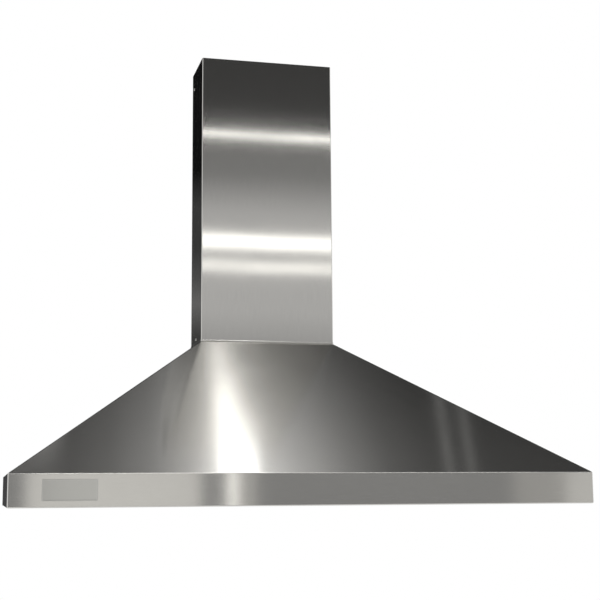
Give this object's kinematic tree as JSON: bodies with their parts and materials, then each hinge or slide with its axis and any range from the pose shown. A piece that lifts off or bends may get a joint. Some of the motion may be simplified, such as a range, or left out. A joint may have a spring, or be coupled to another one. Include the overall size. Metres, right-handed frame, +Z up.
{
  "type": "chimney range hood",
  "caption": "Wall-hung pyramid range hood with a chimney cover, a centrifugal blower, a non-return damper, drop-down baffle filters, lamps and controls.",
  "frame": {"origin": "the middle of the four wall holes, on the wall plane", "axes": "X runs across the hood, Y points into the wall with the front at -Y, Z is up"},
  "size_m": [1.2, 0.6, 1.067],
  "materials": {
    "canopy_steel": "brushed along the hood's width",
    "chimney_steel": "brushed upright",
    "inner_steel": "brushed",
    "galvanised": "zinc-coated sheet, mass as sheet metal",
    "screw_steel": "bright plated",
    "motor_shell": "satin dark enamel",
    "wheel_steel": "mill finish",
    "flap_aluminium": "mill finish",
    "pale_plastic": "moulded",
    "dark_plastic": "moulded",
    "capacitor_can": "smooth",
    "grommet_rubber": "moulded",
    "trim_chrome": "polished",
    "lamp_glass": "frosted inside",
    "dark_aluminium": "dark anodised",
    "filter_steel": "brushed along the baffles",
    "latch_steel": "satin"
  },
  "bodies": {
    "root": {"front_panel": "canopy_steel", "left_panel": "canopy_steel", "right_panel": "canopy_steel", "back_panel": "galvanised", "top_plate": "galvanised", "chimney_cover": "chimney_steel", "chimney_bracket": "galvanised", "chimney_screws": "screw_steel", "control_deck": "inner_steel", "rear_rail": "inner_steel", "left_end_rail": "inner_steel", "right_end_rail": "inner_steel", "left_divider": "inner_steel", "right_divider": "inner_steel", "hinge_rods": "screw_steel", "blower_wrapper": "galvanised", "blower_side_left": "galvanised", "blower_side_right": "galvanised", "inlet_ring_left": "galvanised", "inlet_ring_right": "galvanised", "motor": "motor_shell", "motor_cradle": "galvanised", "blower_screws": "screw_steel", "duct_spigot": "galvanised", "damper_pins": "screw_steel", "junction_box": "pale_plastic", "junction_lid": "pale_plastic", "terminal_block": "pale_plastic", "capacitor": "capacitor_can", "cable_grommet": "grommet_rubber", "lamp_bezels": "trim_chrome", "lamp_lenses": "lamp_glass", "lamp_bodies": "dark_aluminium", "led_driver": "pale_plastic", "control_plate": "inner_steel", "switch_box": "dark_plastic"},
    "wheel": {"impeller_disc": "wheel_steel", "impeller_rings": "wheel_steel", "impeller_blades": "wheel_steel", "impeller_hub": "wheel_steel", "motor_shaft": "screw_steel"},
    "front_flap": {"damper_flap_front": "flap_aluminium"},
    "rear_flap": {"damper_flap_rear": "flap_aluminium"},
    "left_filter": {"left_filter_frame": "filter_steel", "left_filter_lower_baffles": "filter_steel", "left_filter_upper_baffles": "filter_steel"},
    "middle_filter": {"middle_filter_frame": "filter_steel", "middle_filter_lower_baffles": "filter_steel", "middle_filter_upper_baffles": "filter_steel"},
    "right_filter": {"right_filter_frame": "filter_steel", "right_filter_lower_baffles": "filter_steel", "right_filter_upper_baffles": "filter_steel"},
    "left_latch": {"left_filter_latch": "latch_steel"},
    "middle_latch": {"middle_filter_latch": "latch_steel"},
    "right_latch": {"right_filter_latch": "latch_steel"},
    "knob": {"speed_knob": "trim_chrome", "knob_spindle": "screw_steel"},
    "button": {"light_button": "trim_chrome"}
  },
  "joints": [
    {"name": "wheel_spin", "type": "hinge", "parent": "root", "child": "wheel", "pos_m": [0, -0.15, -0.01], "axis": [1, 0, 0], "continuous": true},
    {"name": "front_flap_swing", "type": "hinge", "parent": "root", "child": "front_flap", "pos_m": [0, -0.0785, 0.2028], "axis": [-1, 0, 0], "range_deg": [0, 80]},
    {"name": "rear_flap_swing", "type": "hinge", "parent": "root", "child": "rear_flap", "pos_m": [0, -0.0715, 0.2028], "axis": [1, 0, 0], "range_deg": [0, 80]},
    {"name": "left_filter_swing", "type": "hinge", "parent": "root", "child": "left_filter", "pos_m": [-0.38378, -0.041, -0.183], "axis": [1, 0, 0], "range_deg": [0, 80]},
    {"name": "middle_filter_swing", "type": "hinge", "parent": "root", "child": "middle_filter", "pos_m": [0, -0.041, -0.183], "axis": [1, 0, 0], "range_deg": [0, 80]},
    {"name": "right_filter_swing", "type": "hinge", "parent": "root", "child": "right_filter", "pos_m": [0.38378, -0.041, -0.183], "axis": [1, 0, 0], "range_deg": [0, 80]},
    {"name": "left_latch_slide", "type": "slide", "parent": "left_filter", "child": "left_latch", "axis": [0, 1, 0], "range_m": [0, 0.007], "stiffness_N_per_m": 200, "springref_m": -0.01},
    {"name": "middle_latch_slide", "type": "slide", "parent": "middle_filter", "child": "middle_latch", "axis": [0, 1, 0], "range_m": [0, 0.007], "stiffness_N_per_m": 200, "springref_m": -0.01},
    {"name": "right_latch_slide", "type": "slide", "parent": "right_filter", "child": "right_latch", "axis": [0, 1, 0], "range_m": [0, 0.007], "stiffness_N_per_m": 200, "springref_m": -0.01},
    {"name": "knob_turn", "type": "hinge", "parent": "root", "child": "knob", "pos_m": [-0.026, -0.526, -0.19], "axis": [0, 0, -1], "range_deg": [0, 270]},
    {"name": "button_press", "type": "slide", "parent": "root", "child": "button", "axis": [0, 0, 1], "range_m": [0, 0.0025], "stiffness_N_per_m": 400, "springref_m": -0.002}
  ]
}
